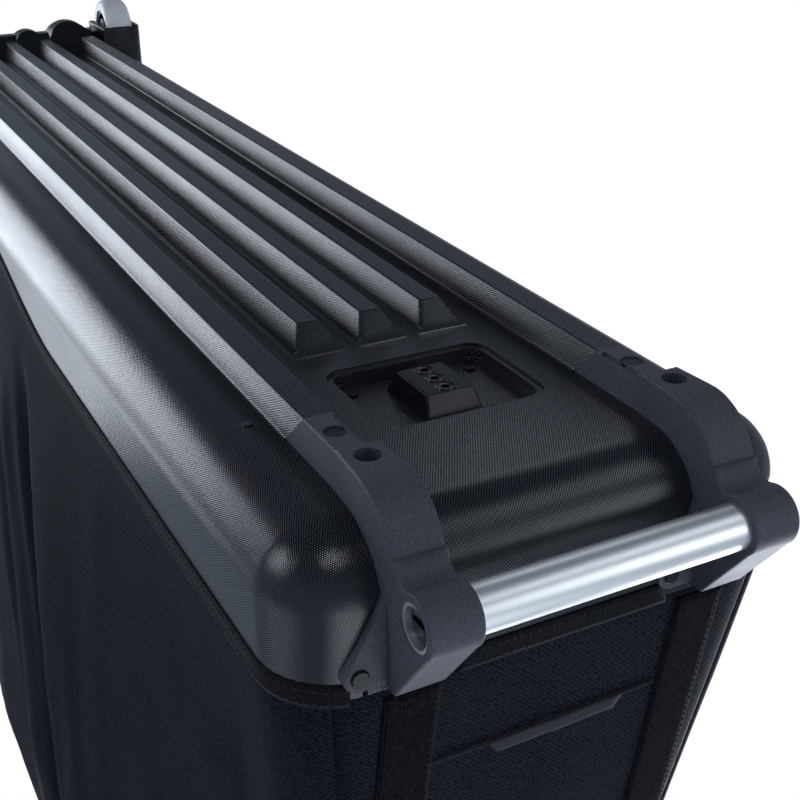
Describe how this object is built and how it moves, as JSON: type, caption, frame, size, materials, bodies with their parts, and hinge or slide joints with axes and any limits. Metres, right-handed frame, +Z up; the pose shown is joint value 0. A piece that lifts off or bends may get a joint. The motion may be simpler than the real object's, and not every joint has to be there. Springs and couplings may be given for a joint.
{
  "type": "bike travel case",
  "caption": "Soft-sided bike travel case on a ribbed hard base tray, with wheels at one end, a tubular pull handle at the other and a zipped lid.",
  "frame": {"origin": "on the floor under the middle of the case's length and width, with the rear wheels on z = 0", "axes": "+X along the case to the pull handle, +Y to the left side, +Z up from the wheels to the lid"},
  "size_m": [1.463, 0.434, 0.85],
  "materials": {
    "tray_sheet": "formed sheet with a fine dotted grain, semi-gloss",
    "bracket_nylon": "fine grained filled nylon",
    "block_plastic": "smooth moulded plastic",
    "tube_metal": "satin drawn tube",
    "plug_plastic": "moulded plug",
    "black_hardware": "black coated steel",
    "bare_steel": "zinc plated steel",
    "wheel_tread": "pale cast polyurethane",
    "wheel_hub": "moulded hub",
    "bumper_plastic": "smooth moulded plastic",
    "body_cloth": "dark navy woven polyester over foam",
    "edge_tape": "ribbed binding tape",
    "webbing": "ribbed webbing",
    "zip_teeth": "moulded zip teeth",
    "foam": "closed cell foam",
    "pole_rod": "glass fibre rod"
  },
  "bodies": {
    "case_base": {"base_tray": "tray_sheet", "front_left_bracket": "bracket_nylon", "front_right_bracket": "bracket_nylon", "bracket_screws": "black_hardware", "bracket_bolts": "black_hardware", "bracket_rivets": "black_hardware", "handle_tube": "tube_metal", "handle_tube_plugs": "plug_plastic", "wheel_socket_block": "block_plastic", "recess_screws": "black_hardware", "tray_rivets": "black_hardware", "rear_bumper": "bumper_plastic", "bumper_screws": "black_hardware", "fabric_front_panel": "body_cloth", "fabric_rear_panel": "body_cloth", "fabric_left_panel": "body_cloth", "fabric_right_panel": "body_cloth", "rim_binding": "edge_tape", "front_webbing_bands": "webbing", "front_pocket_flap": "body_cloth", "zip_chain": "zip_teeth", "floor_pad": "foam", "frame_rest_block": "foam", "corner_poles": "pole_rod", "pole_sockets": "plug_plastic", "rear_left_wheel_housing": "bracket_nylon", "rear_left_axle_bolt": "bare_steel", "rear_left_axle_nut": "bare_steel", "rear_left_axle_spacers": "bare_steel", "rear_right_wheel_housing": "bracket_nylon", "rear_right_axle_bolt": "bare_steel", "rear_right_axle_nut": "bare_steel", "rear_right_axle_spacers": "bare_steel"},
    "left_wheel": {"rear_left_tyre": "wheel_tread", "rear_left_hub": "wheel_hub", "rear_left_bearings": "bare_steel"},
    "right_wheel": {"rear_right_tyre": "wheel_tread", "rear_right_hub": "wheel_hub", "rear_right_bearings": "bare_steel"},
    "lid": {"fabric_lid": "body_cloth"},
    "front_slider": {"zip_front_slider": "black_hardware"},
    "front_pull": {"zip_front_pull": "black_hardware"},
    "rear_slider": {"zip_rear_slider": "black_hardware"},
    "rear_pull": {"zip_rear_pull": "black_hardware"}
  },
  "joints": [
    {"name": "left_wheel_spin", "type": "hinge", "parent": "case_base", "child": "left_wheel", "pos_m": [-0.6915, 0.149, 0.04], "axis": [0, 1, 0], "continuous": true},
    {"name": "right_wheel_spin", "type": "hinge", "parent": "case_base", "child": "right_wheel", "pos_m": [-0.6915, -0.149, 0.04], "axis": [0, 1, 0], "continuous": true},
    {"name": "lid_hinge", "type": "hinge", "parent": "case_base", "child": "lid", "pos_m": [0, 0.203, 0.8224], "axis": [-1, 0, 0], "range_deg": [0, 115]},
    {"name": "front_slider_travel", "type": "slide", "parent": "case_base", "child": "front_slider", "axis": [1, 0, 0], "range_m": [0, 0.25]},
    {"name": "front_pull_swing", "type": "hinge", "parent": "front_slider", "child": "front_pull", "pos_m": [0.02, -0.2138, 0.8175], "axis": [-1, 0, 0], "range_deg": [0, 150]},
    {"name": "rear_slider_travel", "type": "slide", "parent": "case_base", "child": "rear_slider", "axis": [-1, 0, 0], "range_m": [0, 0.25]},
    {"name": "rear_pull_swing", "type": "hinge", "parent": "rear_slider", "child": "rear_pull", "pos_m": [-0.02, -0.2138, 0.8175], "axis": [-1, 0, 0], "range_deg": [0, 150]}
  ]
}
